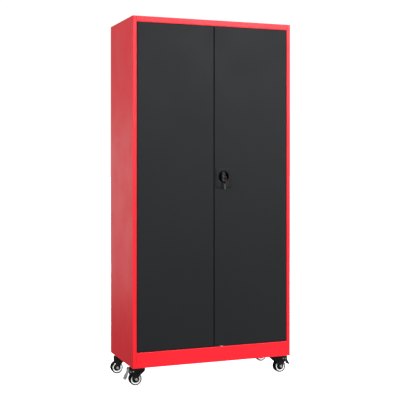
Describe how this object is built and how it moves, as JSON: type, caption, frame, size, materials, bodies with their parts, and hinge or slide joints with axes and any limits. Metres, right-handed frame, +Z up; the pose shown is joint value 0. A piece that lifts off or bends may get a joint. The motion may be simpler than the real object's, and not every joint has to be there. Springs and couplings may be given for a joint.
{
  "type": "rolling storage cabinet",
  "caption": "Tall steel storage cabinet on swivel casters, with hinged double doors, a rod lock with turn handle and key, and shelves inside.",
  "frame": {"origin": "on the floor, below the middle of the outer box", "axes": "+Z up, -Y out of the doors, +X to the right as seen from the front"},
  "size_m": [0.954, 0.4302, 1.9],
  "materials": {
    "red_paint": "satin red powder coat",
    "charcoal_paint": "fine textured charcoal powder coat",
    "black_plastic": "moulded black plastic",
    "black_steel": "black electrocoat",
    "zinc_steel": "bright zinc plate",
    "tyre_rubber": "smooth black polyurethane",
    "white_nylon": "smooth white nylon",
    "pedal_steel": "dull plated steel"
  },
  "bodies": {
    "cabinet": {"left_side_panel": "red_paint", "right_side_panel": "red_paint", "back_panel": "red_paint", "top_panel": "red_paint", "floor_panel": "red_paint", "kick_panel": "red_paint", "front_base_rail": "red_paint", "rear_base_rail": "red_paint", "front_left_shelf_post": "red_paint", "front_right_shelf_post": "red_paint", "rear_left_shelf_post": "red_paint", "rear_right_shelf_post": "red_paint", "shelf_1": "charcoal_paint", "shelf_2": "charcoal_paint", "shelf_3": "charcoal_paint", "shelf_4": "charcoal_paint", "upper_left_hinge_pin": "zinc_steel", "upper_right_hinge_pin": "zinc_steel", "lower_left_hinge_pin": "zinc_steel", "lower_right_hinge_pin": "zinc_steel", "front_left_caster_plate": "black_steel", "front_right_caster_plate": "black_steel", "rear_left_caster_plate": "black_steel", "rear_right_caster_plate": "black_steel"},
    "left_door": {"left_door_panel": "charcoal_paint", "left_door_stiffener": "charcoal_paint"},
    "right_door": {"right_door_panel": "charcoal_paint", "right_door_stiffener": "charcoal_paint", "lock_housing": "black_plastic", "lower_rod_guide": "white_nylon"},
    "handle": {"turn_handle": "black_plastic", "lock_cam": "zinc_steel"},
    "key": {"key_cylinder": "zinc_steel", "inserted_key": "black_plastic"},
    "ring": {"key_ring": "zinc_steel"},
    "spare": {"spare_key": "black_plastic"},
    "upper_rod": {"upper_lock_rod": "zinc_steel"},
    "lower_rod": {"lower_lock_rod": "zinc_steel"},
    "front_left_swivel": {"front_left_fork": "black_steel", "front_left_axle": "zinc_steel"},
    "front_left_wheel": {"front_left_tyre": "tyre_rubber", "front_left_wheel_rim": "white_nylon", "front_left_wheel_hub": "black_plastic"},
    "front_left_pedal": {"front_left_brake_pedal": "pedal_steel"},
    "front_right_swivel": {"front_right_fork": "black_steel", "front_right_axle": "zinc_steel"},
    "front_right_wheel": {"front_right_tyre": "tyre_rubber", "front_right_wheel_rim": "white_nylon", "front_right_wheel_hub": "black_plastic"},
    "front_right_pedal": {"front_right_brake_pedal": "pedal_steel"},
    "rear_left_swivel": {"rear_left_fork": "black_steel", "rear_left_axle": "zinc_steel"},
    "rear_left_wheel": {"rear_left_tyre": "tyre_rubber", "rear_left_wheel_rim": "white_nylon", "rear_left_wheel_hub": "black_plastic"},
    "rear_right_swivel": {"rear_right_fork": "black_steel", "rear_right_axle": "zinc_steel"},
    "rear_right_wheel": {"rear_right_tyre": "tyre_rubber", "rear_right_wheel_rim": "white_nylon", "rear_right_wheel_hub": "black_plastic"}
  },
  "joints": [
    {"name": "left_door_hinge", "type": "hinge", "parent": "cabinet", "child": "left_door", "pos_m": [-0.4145, -0.17885, 1.026], "axis": [0, 0, -1], "range_deg": [0, 110]},
    {"name": "right_door_hinge", "type": "hinge", "parent": "cabinet", "child": "right_door", "pos_m": [0.4145, -0.17885, 1.026], "axis": [0, 0, 1], "range_deg": [0, 110]},
    {"name": "handle_turn", "type": "hinge", "parent": "right_door", "child": "handle", "pos_m": [0.053, -0.184, 1.076], "axis": [0, -1, 0], "range_deg": [0, 90]},
    {"name": "key_turn", "type": "hinge", "parent": "handle", "child": "key", "pos_m": [0.053, -0.184, 1.076], "axis": [0, -1, 0], "range_deg": [0, 90]},
    {"name": "key_ring_swing", "type": "hinge", "parent": "key", "child": "ring", "pos_m": [0.053, -0.20415, 1.0748], "axis": [1, 0, 0], "range_deg": [-80, 5]},
    {"name": "spare_key_swing", "type": "hinge", "parent": "ring", "child": "spare", "pos_m": [0.053, -0.20415, 1.0528], "axis": [1, 0, 0], "range_deg": [-60, 6]},
    {"name": "upper_rod_slide", "type": "slide", "parent": "right_door", "child": "upper_rod", "axis": [0, 0, 1], "range_m": [0, 0.0198]},
    {"name": "lower_rod_slide", "type": "slide", "parent": "right_door", "child": "lower_rod", "axis": [0, 0, -1], "range_m": [0, 0.0198]},
    {"name": "front_left_swivel_turn", "type": "hinge", "parent": "cabinet", "child": "front_left_swivel", "pos_m": [-0.393, -0.11785, 0.09], "axis": [0, 0, 1], "continuous": true},
    {"name": "front_left_wheel_spin", "type": "hinge", "parent": "front_left_swivel", "child": "front_left_wheel", "pos_m": [-0.417, -0.11785, 0.03222], "axis": [0, 1, 0], "continuous": true},
    {"name": "front_left_brake_lift", "type": "hinge", "parent": "front_left_swivel", "child": "front_left_pedal", "pos_m": [-0.446, -0.11785, 0.073], "axis": [0, 1, 0], "range_deg": [0, 20]},
    {"name": "front_right_swivel_turn", "type": "hinge", "parent": "cabinet", "child": "front_right_swivel", "pos_m": [0.393, -0.11785, 0.09], "axis": [0, 0, 1], "continuous": true},
    {"name": "front_right_wheel_spin", "type": "hinge", "parent": "front_right_swivel", "child": "front_right_wheel", "pos_m": [0.417, -0.11785, 0.03222], "axis": [0, 1, 0], "continuous": true},
    {"name": "front_right_brake_lift", "type": "hinge", "parent": "front_right_swivel", "child": "front_right_pedal", "pos_m": [0.446, -0.11785, 0.073], "axis": [0, -1, 0], "range_deg": [0, 20]},
    {"name": "rear_left_swivel_turn", "type": "hinge", "parent": "cabinet", "child": "rear_left_swivel", "pos_m": [-0.412, 0.15015, 0.09], "axis": [0, 0, 1], "continuous": true},
    {"name": "rear_left_wheel_spin", "type": "hinge", "parent": "rear_left_swivel", "child": "rear_left_wheel", "pos_m": [-0.436, 0.15015, 0.03222], "axis": [0, 1, 0], "continuous": true},
    {"name": "rear_right_swivel_turn", "type": "hinge", "parent": "cabinet", "child": "rear_right_swivel", "pos_m": [0.412, 0.15015, 0.09], "axis": [0, 0, 1], "continuous": true},
    {"name": "rear_right_wheel_spin", "type": "hinge", "parent": "rear_right_swivel", "child": "rear_right_wheel", "pos_m": [0.436, 0.15015, 0.03222], "axis": [0, 1, 0], "continuous": true}
  ],
  "couplings": [
    {"joint": "upper_rod_slide", "follows": "handle_turn", "m_per_rad": 0.012604},
    {"joint": "lower_rod_slide", "follows": "handle_turn", "m_per_rad": 0.012604}
  ]
}
